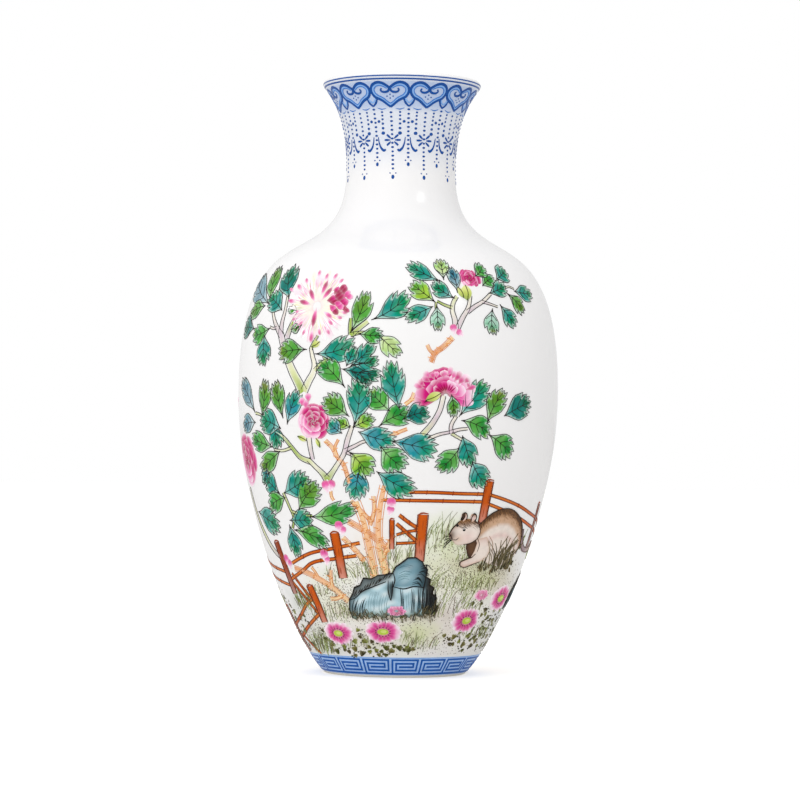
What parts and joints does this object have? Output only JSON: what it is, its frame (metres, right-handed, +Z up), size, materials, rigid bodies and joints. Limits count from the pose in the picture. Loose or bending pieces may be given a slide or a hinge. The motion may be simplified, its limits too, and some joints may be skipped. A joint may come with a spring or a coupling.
{
  "type": "porcelain vase",
  "caption": "Round-bellied glazed porcelain vase with a narrow waisted neck, flared rounded mouth and a turned foot ring, painted in overglaze enamels.",
  "frame": {"origin": "centre of the foot, on the surface the vase stands on", "axes": "+Z up along the vase's axis, from the foot to the mouth; +X to the right and -Y towards the front of the painting"},
  "size_m": [0.108, 0.108, 0.2],
  "materials": {
    "porcelain": "matt",
    "slip": "matt",
    "glaze": "gloss"
  },
  "bodies": {
    "root": {"lower_body": "porcelain", "belly_joint_slip": "slip", "shoulder": "porcelain", "neck_joint_slip": "slip", "neck": "porcelain", "outer_glaze": "glaze", "inner_glaze": "glaze", "base_glaze": "glaze"}
  },
  "joints": []
}
